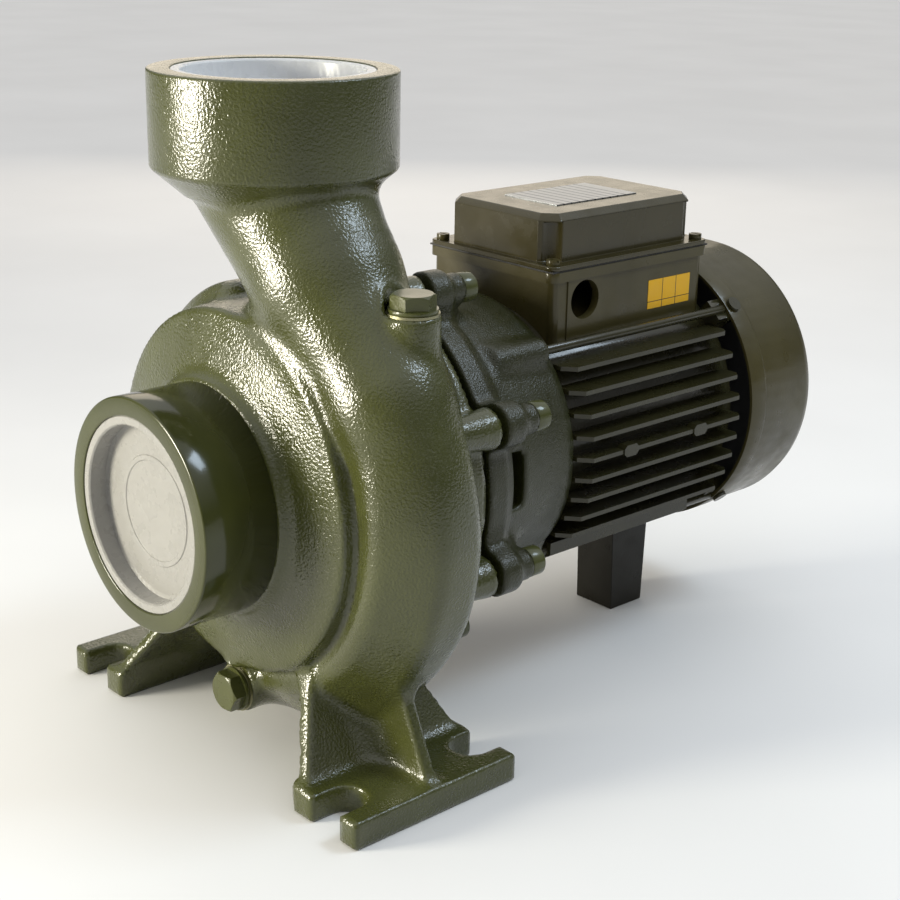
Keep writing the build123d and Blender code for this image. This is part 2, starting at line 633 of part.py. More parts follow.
def rear_endshield():
    """Rear bearing housing with tie-rod lugs and arms that carry the fan cover."""
    body = turned((REAR_BEARING[1], 303), (30, 303), (34, 310), (70, 306), (STATOR_R, 304),
                  (STATOR_R, FRAME_BACK_Y), (82, FRAME_BACK_Y), (82, 318), (70, 320),
                  (36, 322), (33, 326), (15, 326), (15, 322), (REAR_BEARING[1], 322))
    cowl_bore = rod_y(94.3, 300, 340)
    arm_zone = cowl_bore & turned((80, 312), (120, 312), (120, 322), (94.3, 336), (80, 336))
    for deg, x, z in around(4, 45, TIE_ROD_CIRCLE_R):
        body += rod_y(8, FRAME_BACK_Y, 321, x, z) & rod_y(94.4, 300, 330)
        body += spoke(88, deg, 319, 12.6, 14, 16) & arm_zone
        body += spoke(90, deg, 329, 8, 12, 14) & cowl_bore
    for _, x, z in around(4, 45, TIE_ROD_CIRCLE_R):
        body -= rod_y(TIE_ROD_R, FRAME_BACK_Y - 1, 322, x, z)
    return body


def tie_rods():
    """Four studs that clamp bracket, frame and endshield together."""
    rods = [rod_y(TIE_ROD_R, 124, 320.5, x, z) for _, x, z in around(4, 45, TIE_ROD_CIRCLE_R)]
    return Compound(children=[r.solid() for r in rods])


def cooling_fan():
    """Moulded radial fan with straight blades, good for either direction."""
    body = turned((FAN_SEAT_R, 334), (20, 334), (20, 340), (FAN_R, 338), (FAN_R, 340.5), (22, 343),
                  (20, 362), (FAN_SEAT_R, 362))
    outline = Polyline((19, 340), (FAN_R, 338.5), (FAN_R, 352), (FAN_R - 8, 364), (30, 360), (19, 350),
                       close=True)
    blade = Pos(0, 0, -1.25) * extrude(make_face(outline), 2.5)
    for i in range(FAN_BLADES):
        body += Pos(0, 0, SHAFT_Z) * (Rot(0, i * 360 / FAN_BLADES, 0) * blade)
    return body


def fan_clip():
    """Circlip that keeps the fan on the shaft."""
    ring = turned((FAN_SEAT_R - 0.6, 362), (14, 362), (14, 363.2), (FAN_SEAT_R - 0.6, 363.2))
    return ring - block(-2, 2, 361, 364, SHAFT_Z, SHAFT_Z + 20)


def fan_cover():
    """Pressed cowl over the fan with a slotted grille in its end."""
    r, s = FAN_COVER_R, FAN_COVER_SHEET
    front, back = FAN_COVER_FRONT_Y, FAN_COVER_BACK_Y
    outer = turned((0, back), (r - 9, back), (r - 3, back - 3), (r - 1.2, back - 9),
                   (r - 1.2, front + 17), (r, front + 15), (r, front), (0, front))
    inner = turned((0, back - s), (r - 9.6, back - s), (r - 4.8, back - 4.6), (r - 3.2, back - 9),
                   (r - 3.2, front + 16), (r - s, front + 14), (r - s, front - 1), (0, front - 1))
    body = outer - inner
    for ring_r in (26, 38, 50, 62, 74):
        slot = turned((ring_r - 2.6, back - 6), (ring_r + 2.6, back - 6), (ring_r + 2.6, back + 1),
                      (ring_r - 2.6, back + 1))
        body -= slot
    for i in range(3):
        bar = Box(162, s, 7)
        body += Pos(0, back - s / 2, SHAFT_Z) * (Rot(0, i * 60, 0) * bar)
    for deg in (45, 135, 225, 315):
        hole = Rot(0, -deg, 0) * rod_x(2.6, 80, 110, 330, 0)
        body -= Pos(0, 0, SHAFT_Z) * hole
    return body


def fan_cover_screws():
    """Pan-head screws through the cowl into the endshield's arms."""
    screws = []
    for deg in (45, 135, 225, 315):
        screw = rod_x(2.4, 95, 97, 330, 0) + rod_x(5, 96.6, 99, 330, 0)
        screws.append((Pos(0, 0, SHAFT_Z) * (Rot(0, -deg, 0) * screw)).solid())
    return Compound(children=screws)


# ---------------------------------------------------------------- support leg
def leg_block(inset, low, high):
    """Block tapered in towards the floor, this far inside the leg's outline."""
    front, back, draft = LEG_FRONT_Y + inset, LEG_BACK_Y - inset, LEG_DRAFT
    outline = Plane.YZ * Polyline((front, low), (back, low), (back + draft, high),
                                  (front - draft, high), close=True)
    return extrude(make_face(outline), LEG_HALF_X - inset, both=True)


def motor_support():
    """Cast leg under the motor's pad, hollow from below."""
    top = SHAFT_Z - PAD_DROP
    body = leg_block(0, 0, top)
    body -= leg_block(4, -1, top - 6)
    for y in (290, 303):
        body -= rod_z(3.3, top - 10, top + 1, 0, y)
    return body


def support_screws():
    """Screws that hold the leg to the pad."""
    top = SHAFT_Z - PAD_DROP
    screws = []
    for y in (290, 303):
        head = Pos(0, y, top - 11) * hexagon_prism(10, 5)
        screws.append((head + rod_z(3, top - 6.01, top + 5, 0, y)).solid())
    return Compound(children=screws)


# ---------------------------------------------------------------- terminal box
def terminal_box():
    """Box cast to sit on the frame's round back, with a rim and a cable entry."""
    saddle = rod_y(FRAME_R + 0.05, 100, 400)
    body = block(-BOX_HALF_X, BOX_HALF_X, BOX_FRONT_Y, BOX_BACK_Y, SHAFT_Z + 62, BOX_RIM_Z)
    body = fillet(body.edges().filter_by(Axis.Z), 5)
    outline = body
    rim = block(-57.2, 57.2, 165.9, 313.9, BOX_RIM_Z, BOX_RIM_Z + RIM_THICK)
    body += fillet(rim.edges().filter_by(Axis.Z), 6)
    inside = block(-BOX_HALF_X + BOX_WALL, BOX_HALF_X - BOX_WALL, BOX_FRONT_Y + BOX_WALL,
                   BOX_BACK_Y - BOX_WALL, SHAFT_Z + 62, BOX_RIM_Z + RIM_THICK + 1)
    body -= inside - rod_y(FRAME_R + BOX_WALL, 100, 400)
    body -= saddle
    body -= rod_z(10, SHAFT_Z + 60, SHAFT_Z + 100, 0, 230)
    body += block(BOX_HALF_X - 1, BOX_HALF_X + CABLE_PAD, CABLE_Y - 15.5, CABLE_Y + 15.5, 226, BOX_RIM_Z)
    body -= rod_x(CABLE_R, 45, 60, CABLE_Y, CABLE_Z)
    for x, y in lid_corners():
        body += rod_z(5.5, BOX_RIM_Z - 12, BOX_RIM_Z + RIM_THICK, x, y) & outline
        body -= rod_z(2.5, BOX_RIM_Z - 8, BOX_RIM_Z + 10, x, y)
    return body


def lid_corners():
    """Places of the four lid screws."""
    return [(x, y) for x in (-50.5, 50.5) for y in (172.6, 307.2)]


def lid_gasket():
    """Flat gasket on the box rim."""
    z = BOX_RIM_Z + RIM_THICK
    sheet = block(-56.5, 56.5, 166.6, 313.2, z, z + 1)
    sheet -= block(-46.5, 46.5, 176.6, 303.2, z - 1, z + 2)
    for x, y in lid_corners():
        sheet -= rod_z(2.6, z - 1, z + 2, x, y)
    return sheet


def terminal_lid():
    """Deep lid with a bevelled top and corners cut back round its screws."""
    z = BOX_RIM_Z + RIM_THICK + 1
    flange = fillet(block(-57.2, 57.2, 165.9, 313.9, z, z + 3).edges().filter_by(Axis.Z), 6)
    body = block(-LID_HALF_X, LID_HALF_X, LID_FRONT_Y, LID_BACK_Y, z, LID_TOP_Z)
    body = chamfer(body.edges().filter_by(Axis.Z), LID_CORNER)
    body = chamfer(body.faces().sort_by(Axis.Z)[-1].edges(), LID_TOP_Z - LID_SHOULDER_Z)
    inside = block(-LID_HALF_X + LID_SHEET, LID_HALF_X - LID_SHEET, LID_FRONT_Y + LID_SHEET,
                   LID_BACK_Y - LID_SHEET, z - 1, LID_SHOULDER_Z - 0.5)
    for x, y in lid_corners():
        body -= rod_z(10.5, z, LID_SHOULDER_Z - 1, x, y)
    body += flange
    for x, y in lid_corners():
        inside -= rod_z(13.5, z - 2, LID_TOP_Z + 1, x, y)
    body -= inside
    for x, y in lid_corners():
        body -= rod_z(2.6, z - 1, z + 4, x, y)
    return body


def lid_screws():
    """Four screws that hold the lid."""
    seat = BOX_RIM_Z + RIM_THICK + 4
    screws = []
    for x, y in lid_corners():
        screw = rod_z(2.4, BOX_RIM_Z - 6, seat, x, y) + rod_z(4.2, seat, seat + 3.4, x, y)
        slot = block(x - 5, x + 5, y - 0.6, y + 0.6, seat + 2, seat + 4)
        screws.append((screw - slot).solid())
    return Compound(children=screws)


def terminal_block():
    """Moulded block that carries the six terminal studs."""
    base = SHAFT_Z + FRAME_R + BOX_WALL
    body = block(-26, 26, 226, 282, base - 1.5, base + 10)
    body -= rod_y(FRAME_R + BOX_WALL, 100, 400)
    for x, y in terminal_places():
        body -= rod_z(2.5, base + 2, base + 12, x, y)
    return body


def terminal_places():
    """Centres of the six studs, in two rows of three."""
    return [(x, y) for x in (-12, 12) for y in (236, 254, 272)]


def terminal_studs():
    """Brass studs with their nuts."""
    base = SHAFT_Z + FRAME_R + BOX_WALL
    studs = []
    for x, y in terminal_places():
        nut = Pos(x, y, base + 10) * hexagon_prism(8, 4)
        studs.append((nut + rod_z(2.5, base + 2, base + 22, x, y)).solid())
    return Compound(children=studs)


def nameplate():
    """Thin rating plate on the lid, left blank."""
    return block(-22, 25, 200, 275, LID_TOP_Z, LID_TOP_Z + 0.6)


def notice_label():
    """Thin yellow label on the box wall, left blank."""
    return block(BOX_HALF_X, BOX_HALF_X + 0.3, 257, 298, 234, 253)


# ---------------------------------------------------------------- pieces
def plug_in_place(shape):
    """Drain plug pose: along -Y on its boss."""
    plane = Plane(origin=(0, DRAIN_SEAT_Y, SHAFT_Z - DRAIN_DROP), x_dir=(1, 0, 0), z_dir=(0, -1, 0))
    return plane.location * shape


def main():
    """Write every node."""
    front_outer, front_inner, front_balls = bearing_rings(FRONT_BEARING)
    rear_outer, rear_inner, rear_balls = bearing_rings(REAR_BEARING)
    washer_rise = Pos(0, 0, 1.5)
    priming = Pos(PRIMING_X, PRIMING_Y, PRIMING_SEAT_Z)
    suction = Plane(origin=(0, SUCTION_FACE_Y + 0.6, SHAFT_Z), x_dir=(1, 0, 0), z_dir=(0, -1, 0))
    nodes = {
        "pump_casing": pump_casing(),
        "suction_cap": suction.location * port_cap(LEAD_IN_DEPTH - 1),
        "discharge_cap": Pos(0, 0, DISCHARGE_TOP_Z - 0.6) * port_cap(LEAD_IN_DEPTH - 1),
        "priming_plug": priming * washer_rise * hex_plug(14),
        "priming_washer": priming * washer_rise * sealing_washer(),
        "drain_plug": plug_in_place(washer_rise * hex_plug(12)),
        "drain_washer": plug_in_place(washer_rise * sealing_washer()),
        "wear_ring": wear_ring(),
        "seal_cover": seal_cover(),
        "cover_ring": cover_ring(),
        "impeller": impeller(),
        "impeller_key": impeller_key(),
        "impeller_washer": impeller_washer(),
        "impeller_nut": impeller_nut(),
        "seal_seat": seal_seat(),
        "seal_seat_cup": seal_seat_cup(),
        "seal_face_ring": seal_face_ring(),
        "seal_bellows": seal_bellows(),
        "seal_spring": seal_spring(),
        "shaft": shaft(),
        "slinger": slinger(),
        "front_bearing_outer": front_outer,
        "front_bearing_inner": front_inner,
        "front_bearing_balls": front_balls,
        "rear_bearing_outer": rear_outer,
        "rear_bearing_inner": rear_inner,
        "rear_bearing_balls": rear_balls,
        "wave_washer": wave_washer(),
        "lantern_bracket": lantern_bracket(),
        "casing_screws": casing_screws(),
        "motor_frame": motor_frame(),
        "stator_core": stator_core(),
        "stator_windings": stator_windings(),
        "rotor_core": rotor_core(),
        "rotor_rings": rotor_rings(),
        "rear_endshield": rear_endshield(),
        "tie_rods": tie_rods(),
        "cooling_fan": cooling_fan(),
        "fan_clip": fan_clip(),
        "fan_cover": fan_cover(),
        "fan_cover_screws": fan_cover_screws(),
        "motor_support": motor_support(),
        "support_screws": support_screws(),
        "terminal_box": terminal_box(),
        "lid_gasket": lid_gasket(),
        "terminal_lid": terminal_lid(),
        "lid_screws": lid_screws(),
        "terminal_block": terminal_block(),
        "terminal_studs": terminal_studs(),
        "nameplate": nameplate(),
        "notice_label": notice_label(),
    }
    for name, shape in nodes.items():
        save(name, shape)


main()
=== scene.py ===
"""Looks of the centrifugal water pump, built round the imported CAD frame. Blender objects are in metres;
the castings' fields are worked out in millimetres and scaled once, when their mesh is made."""
import json
from itertools import product
from math import cos, hypot, pi, radians, sin, sqrt

import bpy
import numpy as np
from mathutils import Matrix, Vector


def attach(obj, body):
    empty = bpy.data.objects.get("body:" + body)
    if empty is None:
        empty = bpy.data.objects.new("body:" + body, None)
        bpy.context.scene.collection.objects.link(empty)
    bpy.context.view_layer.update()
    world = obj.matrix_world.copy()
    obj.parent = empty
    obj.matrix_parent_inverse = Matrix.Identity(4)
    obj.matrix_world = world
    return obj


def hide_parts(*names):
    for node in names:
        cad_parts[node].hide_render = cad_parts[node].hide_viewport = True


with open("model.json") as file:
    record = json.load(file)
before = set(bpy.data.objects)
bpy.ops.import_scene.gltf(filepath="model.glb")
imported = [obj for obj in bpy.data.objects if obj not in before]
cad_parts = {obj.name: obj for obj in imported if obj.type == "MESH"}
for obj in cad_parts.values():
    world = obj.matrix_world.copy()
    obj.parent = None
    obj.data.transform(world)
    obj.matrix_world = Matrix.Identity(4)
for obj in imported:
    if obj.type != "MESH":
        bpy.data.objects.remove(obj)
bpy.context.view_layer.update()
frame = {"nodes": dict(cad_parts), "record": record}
MM = 0.001
SHAFT = 160.0  # height of the shaft over the floor, mm
SUCTION_FACE, COLLAR_TOP = -98.5, 398.0  # the two port faces, along Y and along Z
THREAD_R, LEAD_IN_R, RELIEF_R = 55, 56.5, 58.4  # thread crest, recess for a transit cap, behind the thread
LEAD_IN, THREAD_FROM, THREAD_TO = 13, 14, 44  # depths behind each port face
BOSS_R, COLLAR_R = 67.4, 69.3
PRIMING_X, PRIMING_Y, PRIMING_SEAT_Z = 108, 8.5, 279.5
DRAIN_Z, DRAIN_SEAT_Y = 34, -33
PLUG_HOLE_R = 8.4
RING_POINTS = 160  # points round each turned piece


# ---------------------------------------------------------------- signed distance fields, mm
def smooth_min(a, b, k):
    """Union with a fillet about k wide."""
    h = np.maximum(k - np.abs(a - b), 0) / k
    return np.minimum(a, b) - h * h * k / 4


def smooth_max(a, b, k):
    """Intersection with a rounding about k wide."""
    return -smooth_min(-a, -b, k)


def polygon(u, v, points):
    """Distance to a closed polygon in a plane, negative inside."""
    nearest = np.float32(1e9)
    inside = np.zeros(np.broadcast(u, v).shape, bool)
    for (u0, v0), (u1, v1) in zip(points, points[1:] + points[:1]):
        eu, ev = u1 - u0, v1 - v0
        wu, wv = u - u0, v - v0
        t = np.clip((wu * eu + wv * ev) / (eu * eu + ev * ev), 0, 1)
        nearest = np.minimum(nearest, (wu - eu * t) ** 2 + (wv - ev * t) ** 2)
        if ev:
            inside ^= ((v0 > v) != (v1 > v)) & (wu < eu * wv / ev)
    return np.where(inside, -1, 1) * np.sqrt(nearest)


def about_shaft(x, z):
    """Distance from the shaft's axis."""
    return np.sqrt(x * x + (z - SHAFT) ** 2)


def rod(across, along, radius, start, end, soft=2.0):
    """Round bar: across is the distance from its axis, along the place on it."""
    ends = np.abs(along - (start + end) / 2) - (end - start) / 2
    return smooth_max(across - radius, ends, soft)


def slab(x, y, z, low, high, soft):
    """Box between two corners with softened edges."""
    d = None
    for value, lo, hi in zip((x, y, z), low, high):
        side = np.abs(value - (lo + hi) / 2) - (hi - lo) / 2
        d = side if d is None else smooth_max(d, side, soft)
    return d


def round_cone(x, y, z, start, r0, end, r1):
    """Tapered bar with ball ends between two points."""
    a = np.array(start, np.float32)
    run = np.array(end, np.float32) - a
    length = float(np.sqrt(run @ run))
    run /= length
    px, py, pz = x - a[0], y - a[1], z - a[2]
    along = px * run[0] + py * run[1] + pz * run[2]
    across = np.sqrt(np.maximum(px * px + py * py + pz * pz - along * along, 0))
    lean = (r0 - r1) / length
    share = np.clip((along + across * lean / sqrt(1 - lean * lean)) / length, 0, 1)
    return np.sqrt(across**2 + (along - share * length) ** 2) - (r0 + (r1 - r0) * share)


def skin(name, field, low, high, step):
    """Quad mesh of a field's zero level, drawn onto the exact surface."""
    axes = [np.arange(lo, hi + step, step, dtype=np.float32) for lo, hi in zip(low, high)]
    f = field(axes[0][:, None, None], axes[1][None, :, None], axes[2][None, None, :])
    inside = f < 0
    n = [s - 1 for s in f.shape]
    corners = list(product((0, 1), repeat=3))
    count = sum(inside[a:a + n[0], b:b + n[1], c:c + n[2]].astype(np.int8) for a, b, c in corners)
    cells = np.argwhere((count > 0) & (count < 8))
    number = np.full(n, -1, np.int32)
    number[tuple(cells.T)] = np.arange(len(cells))
    points = np.zeros((len(cells), 3))
    hits = np.zeros((len(cells), 1))
    for corner in corners:
        for axis in range(3):
            if corner[axis]:
                continue
            step_on = np.eye(3, dtype=int)[axis]
            near = f[tuple((cells + corner).T)]
            far = f[tuple((cells + corner + step_on).T)]
            cross = (near < 0) != (far < 0)
            share = near[cross] / (near[cross] - far[cross])
            points[cross] += np.array(corner) + share[:, None] * step_on
            hits[cross] += 1
    points = np.array([a[0] for a in axes]) + step * (cells + points / hits)
    quads = []
    for axis in range(3):
        u, v = (axis + 1) % 3, (axis + 2) % 3
        first = np.moveaxis(inside, axis, 0)
        nodes = np.argwhere(np.moveaxis(first[:-1] != first[1:], 0, axis))
        nodes = nodes[(nodes[:, u] > 0) & (nodes[:, v] > 0)]
        nodes = nodes[(nodes[:, u] < n[u]) & (nodes[:, v] < n[v])]
        ring = []
        for du, dv in ((0, 0), (-1, 0), (-1, -1), (0, -1)):
            shifted = nodes.copy()
            shifted[:, u] += du
            shifted[:, v] += dv
            ring.append(number[tuple(shifted.T)])
        ring = np.stack(ring, 1)
        flip = ~inside[tuple(nodes.T)]
        ring[flip] = ring[flip][:, ::-1]
        quads.append(ring)
    quads = np.concatenate(quads)
    points = settle(field, points, step)
    return mesh_piece(name, points * MM, quads)


def settle(field, points, step):
    """Moves points along the field's gradient towards its zero level, under a cell at a time."""
    p = points.astype(np.float64)
    e = 0.05  # spacing for the gradient, mm
    for _ in range(3):
        x, y, z = p.T
        here = field(x, y, z)
        slope = np.stack([field(x + e, y, z), field(x, y + e, z), field(x, y, z + e)], 1)
        slope = (slope - here[:, None]) / e
        move = slope * (here / np.maximum((slope**2).sum(1), 0.2))[:, None]
        size = np.sqrt((move**2).sum(1, keepdims=True))
        p -= move * np.minimum(1, 0.6 * step / np.maximum(size, 1e-9))
    return p


def mesh_piece(name, points, faces):
    """Smooth-shaded object from points and equal-sized faces."""
    mesh = bpy.data.meshes.new(name)
    faces = np.asarray(faces)
    size = faces.shape[1]
    mesh.vertices.add(len(points))
    mesh.vertices.foreach_set("co", np.asarray(points, np.float32).ravel())
    mesh.loops.add(faces.size)
    mesh.loops.foreach_set("vertex_index", faces.astype(np.int32).ravel())
    mesh.polygons.add(len(faces))
    mesh.polygons.foreach_set("loop_start", np.arange(0, faces.size, size, dtype=np.int32))
    mesh.polygons.foreach_set("use_smooth", np.ones(len(faces), bool))
    mesh.update(calc_edges=True)
    mesh.validate()
    obj = bpy.data.objects.new(name, mesh)
    bpy.context.scene.collection.objects.link(obj)
    return obj


# ---------------------------------------------------------------- casing
TONGUE, NECK = 112.0, 396.0  # where the spiral starts and where the neck leaves it, degrees
CASING_BACK = 65.0
BOSS_TURNED_TO = -51.5  # the suction boss is turned from its face to here and left cast behind
PASSAGE_ROOT = 77.0  # radius round the shaft at which the spiral passage begins
# Outline of the spiral's outside, (outward, backward) in radii of the passage, and how far it is rounded out
SECTION = [(-0.86, -0.49), (-0.36, -0.02), (-0.36, 0.40), (-0.70, 0.56), (-1.6, 0.50), (-1.6, -0.20)]
SECTION_ROUND = 0.36
END_ROUND = 0.84  # radius of the spiral's outside where it has turned round, in radii of the passage
LOBES = [22.5 + 45 * k for k in range(8)]  # angles of the eight screw lobes, degrees
LOBE_CIRCLE = 118.0
TIE_ROD_CIRCLE = 94.0
SLOT_X, SLOT_START, SLOT_R = 119.4, 46.5, 12  # the slot that is open at the end of each foot


def volute_radius(deg):
    """Radius of the round passage at this angle round the shaft."""
    share = np.clip((deg - TONGUE) / (360 - TONGUE), 0, 1)
    return 21.5 + 17 * share**0.8


def spiral_end(deg):
    """Centre and radius of the spiral's rounded outside at this angle."""
    reach = PASSAGE_ROOT + 2 * float(volute_radius(deg))
    radius = END_ROUND * float(volute_radius(deg))
    out = reach - radius
    return (out * cos(radians(deg)), 0, SHAFT + out * sin(radians(deg))), radius


def ball(x, y, z, centre, radius):
    """Sphere."""
    cx, cy, cz = centre
    return np.sqrt((x - cx) ** 2 + (y - cy) ** 2 + (z - cz) ** 2) - radius


def spiral(x, y, z, inset):
    """The volute: rounded ridge in front, slanting flank and blunt outer side, growing round the shaft."""
    deg = np.degrees(np.arctan2(z - SHAFT, x)) % 360
    deg = np.where(deg < (TONGUE + NECK - 360) / 2, deg + 360, deg)
    radius = volute_radius(deg)
    u, v = (about_shaft(x, z) - PASSAGE_ROOT) / radius - 2, y / radius
    flanked = polygon(u, v, SECTION) - SECTION_ROUND
    rounded = np.sqrt((u + END_ROUND) ** 2 + v * v) - END_ROUND
    share = np.clip((deg - 340) / (NECK - 340), 0, 1)
    tube = radius * (flanked + (rounded - flanked) * share)
    ends = [ball(x, y, z, *spiral_end(a)) for a in (TONGUE, NECK)]
    beyond = (deg < TONGUE) | (deg > NECK)
    return np.where(beyond, np.minimum(*ends), tube) + inset


def neck(x, y, z, inset):
    """Leaning diffuser with a slight waist, from the spiral's end to the collar."""
    low, radius = spiral_end(NECK)
    top, top_radius, waist_radius = (0, 0, 345.5), 51, 42
    waist = ((low[0] + top[0]) / 2 - 3.5, 0, (low[2] + top[2]) / 2 - 1)
    lower = round_cone(x, y, z, low, radius + 1 - inset, waist, waist_radius - inset)
    upper = round_cone(x, y, z, waist, waist_radius - inset, top, top_radius - inset)
    return smooth_min(lower, upper, 6)


def foot(x, y, z):
    """Slotted foot with its inclined web and crosswise rib, both sides at once."""
    x = np.abs(x)
    plate = slab(x, y, z, (89.5, -61, 0), (145.5, 59, 17), 1.6)
    slot = np.sqrt((x - SLOT_X) ** 2 + np.maximum(SLOT_START - np.abs(y), 0) ** 2) - SLOT_R
    web = smooth_max(
        polygon(x, z, [(93, 9), (98, 9), (98, 17), (54, 90), (44, 90), (91, 19)]) - 1.2,
        polygon(y, z, [(-56, 9), (54, 9), (54, 17), (31, 66), (26, 92), (-26, 92), (-31, 66),
                       (-56, 17)]) - 1.2, 1.5)
    rib = smooth_max(
        polygon(x, z, [(95, 12), (138, 12), (138, 18), (113, 70), (108, 92), (60, 92), (60, 50)]) - 1,
        np.abs(y) - 3.8, 2)
    webs = smooth_min(web, rib, 20)
    return smooth_max(smooth_min(plate, webs, 6), -slot, 1.5)


def casing_outside(x, y, z):
    """Dome, spiral, neck, collar root, lobes, feet and plug bosses with cast fillets."""
    rho = about_shaft(x, z)
    d = polygon(rho, y, [(-20, -44.5), (72, -44.5), (106, -36.8), (107.5, -20), (107.5, 75), (-20, 75)]) - 1.5
    d = smooth_min(d, spiral(x, y, z, 0), 4)
    d = smooth_min(d, neck(x, y, z, 0), 14)
    for deg in LOBES:
        lx, lz = LOBE_CIRCLE * cos(radians(deg)), SHAFT + LOBE_CIRCLE * sin(radians(deg))
        d = smooth_min(d, round_cone(x, y, z, (lx, 42, lz), 10.5, (lx, 75, lz), 13.5), 7)
    d = smooth_min(d, foot(x, y, z), 9)
    column = np.sqrt((x - PRIMING_X) ** 2 + (y - PRIMING_Y) ** 2)
    d = smooth_min(d, rod(column, z, 15.2, 205, 290), 6)
    outlet = np.sqrt(x * x + (z - DRAIN_Z) ** 2)
    d = smooth_min(d, rod(outlet, y, 15.2, -43, 0), 10)
    d = smooth_max(d, y - CASING_BACK, 1.2)
    d = smooth_max(d, -rod(column, z, 15.4, PRIMING_SEAT_Z, 330, 1), 1.5)
    d = smooth_max(d, -rod(outlet, y, 16.4, -60, DRAIN_SEAT_Y, 1), 1.5)
    d = smooth_min(d, rod(rho, y, 69.2, BOSS_TURNED_TO, -30, 1.5), 8)
    collar = polygon(np.sqrt(x * x + y * y), z, [
        (-20, 332), (51, 332), (67, 345.5), (67, 394), (-20, 394)]) - 2
    return smooth_min(d, collar, 7)


def casing_inside(x, y, z):
    """Where the water goes: ports, impeller chamber, spiral, neck and plug holes."""
    rho = about_shaft(x, z)
    d = polygon(rho, y, [(-20, -120), (58, -120), (58, -56), (46, -50), (46, -44), (51, -44),
                         (51, -33), (70, -28), (80, -20), (80, 13), (90, 13), (90, 80), (-20, 80)])
    d = np.minimum(d, np.maximum(rho - 98, np.abs(y) - 10))
    d = np.minimum(d, spiral(x, y, z, 6))
    d = np.minimum(d, neck(x, y, z, 7))
    port = polygon(np.sqrt(x * x + y * y), z, [(-20, 340), (44, 340), (50, 352), (58, 352), (58, 420),
                                              (-20, 420)])
    d = np.minimum(d, port)
    column = np.sqrt((x - PRIMING_X) ** 2 + (y - PRIMING_Y) ** 2)
    outlet = np.sqrt(x * x + (z - DRAIN_Z) ** 2)
    d = np.minimum(d, rod(column, z, PLUG_HOLE_R, 240, 300, 0.5))
    return np.minimum(d, rod(outlet, y, PLUG_HOLE_R, -50, 0, 0.5))


def casing(x, y, z):
    """Cast casing, hollow."""
    return smooth_max(casing_outside(x, y, z), -casing_inside(x, y, z), 1.0)


# ---------------------------------------------------------------- lantern bracket
def bracket(x, y, z):
    """Lobed ring, open cone with windows, tie-rod bosses and bearing housing."""
    rho = about_shaft(x, z)
    d = polygon(rho, y, [(-20, 66), (106, 66), (106, 82), (102, 90), (97, 94), (95, 112), (90, 149),
                         (87, 156), (-20, 156)]) - 2.5
    for deg in LOBES:
        c, s = cos(radians(deg)), sin(radians(deg))
        across = np.sqrt((x - LOBE_CIRCLE * c) ** 2 + (z - SHAFT - LOBE_CIRCLE * s) ** 2)
        d = smooth_min(d, rod(across, y, 13.5, 60, 85, 4), 10)
        d = smooth_min(d, rod(across, y, 9.6, 60, 97, 1.5), 5)
        d = smooth_min(d, round_cone(x, y, z, (112 * c, 80, SHAFT + 112 * s), 9,
                                     (92 * c, 108, SHAFT + 92 * s), 5), 8)
    for deg in (45, 135, 225, 315):
        cx, cz = TIE_ROD_CIRCLE * cos(radians(deg)), SHAFT + TIE_ROD_CIRCLE * sin(radians(deg))
        d = smooth_min(d, rod(np.sqrt((x - cx) ** 2 + (z - cz) ** 2), y, 9.5, 104, 148, 4), 7)
    d = smooth_max(d, 69 - y, 1.2)
    d = smooth_max(d, y - 158, 1.2)
    inside = polygon(rho, y, [(-20, 50), (72, 50), (72, 90), (80, 94), (80, 134), (66, 138), (46, 134),
                              (40, 128), (36, 128), (36, 170), (-20, 170)])
    inside = np.minimum(inside, polygon(rho, y, [(48, 170), (48, 143), (70, 147), (76, 147),
                                                 (77.5, 151), (77.5, 170)]))
    window = slab(np.abs(x), y, z, (40, 93, SHAFT - 15), (140, 107, SHAFT + 20), 5)
    drip = slab(x, y, z, (-10, 95, 0), (10, 126, 100), 4)
    for hollow in (inside, window, drip):
        d = smooth_max(d, -hollow, 1.5)
    return d


# ---------------------------------------------------------------- turned and threaded pieces
def woven(name, rows):
    """Closed skin from rings of points: every ring joins the next, and the last joins the first."""
    count, columns = len(rows), len(rows[0])
    points = np.concatenate(rows) * MM
    i, j = np.meshgrid(np.arange(count), np.arange(columns), indexing="ij")
    i2, j2 = (i + 1) % count, (j + 1) % columns
    faces = np.stack([i * columns + j, i * columns + j2, i2 * columns + j2, i2 * columns + j], -1)
    return mesh_piece(name, points, faces.reshape(-1, 4))


def ring_y(radius, along):
    """Ring of points about the shaft's axis."""
    a = np.linspace(0, 2 * pi, RING_POINTS, endpoint=False)
    radius, along = np.broadcast_arrays(radius, along, a)[:2]
    return np.stack([radius * np.cos(a), along, SHAFT + radius * np.sin(a)], 1)


def ring_z(radius, along):
    """Ring of points about the discharge port's axis."""
    a = np.linspace(0, 2 * pi, RING_POINTS, endpoint=False)
    radius, along = np.broadcast_arrays(radius, along, a)[:2]
    return np.stack([radius * np.cos(a), -radius * np.sin(a), along], 1)


def rounded_profile(corners, steps=3):
    """Closed profile whose corners, given as (radius, along, rounding), are small arcs."""
    out = []
    for k, (r, v, fillet) in enumerate(corners):
        here = np.array([r, v], float)
        before = np.array(corners[k - 1][:2], float) - here
        after = np.array(corners[(k + 1) % len(corners)][:2], float) - here
        if not fillet:
            out.append(here)
            continue
        a, b = here + before / hypot(*before) * fillet, here + after / hypot(*after) * fillet
        for t in np.linspace(0, 1, steps + 1):
            out.append((1 - t) ** 2 * a + 2 * t * (1 - t) * here + t * t * b)
    return out


def turned(name, ring, corners):
    """Solid of revolution from a rounded profile."""
    return woven(name, [ring(r, v) for r, v in rounded_profile(corners)])


